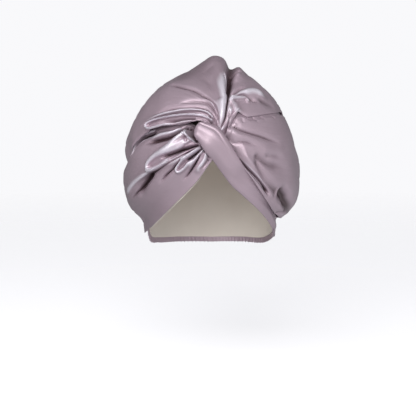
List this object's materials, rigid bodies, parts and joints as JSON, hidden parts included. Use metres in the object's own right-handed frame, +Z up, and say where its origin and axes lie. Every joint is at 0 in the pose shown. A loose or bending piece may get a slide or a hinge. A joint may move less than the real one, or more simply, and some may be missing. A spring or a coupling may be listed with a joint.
{
  "type": "sleep bonnet",
  "caption": "Full satin sleep bonnet shaped as a turban, with a twisted knot over the forehead, pleats fanning round a puffed crown, and a soft elastic at the nape.",
  "frame": {"origin": "centre of the head opening, level with the hems at the sides, where a head carries the bonnet", "axes": "+Z up through the crown, -Y towards the forehead and the twist, +X towards the wearer's left ear"},
  "size_m": [0.2181, 0.2417, 0.2409],
  "materials": {
    "satin": "smooth mauve satin with a soft, wide sheen and fine creases along the gathers",
    "lining_satin": "plain beige satin, a little duller than the outside"
  },
  "bodies": {
    "root": {"crown": "satin", "left_band": "satin", "right_band": "satin", "twist_wrap": "satin", "nape_band": "satin", "lining": "lining_satin"}
  },
  "joints": []
}
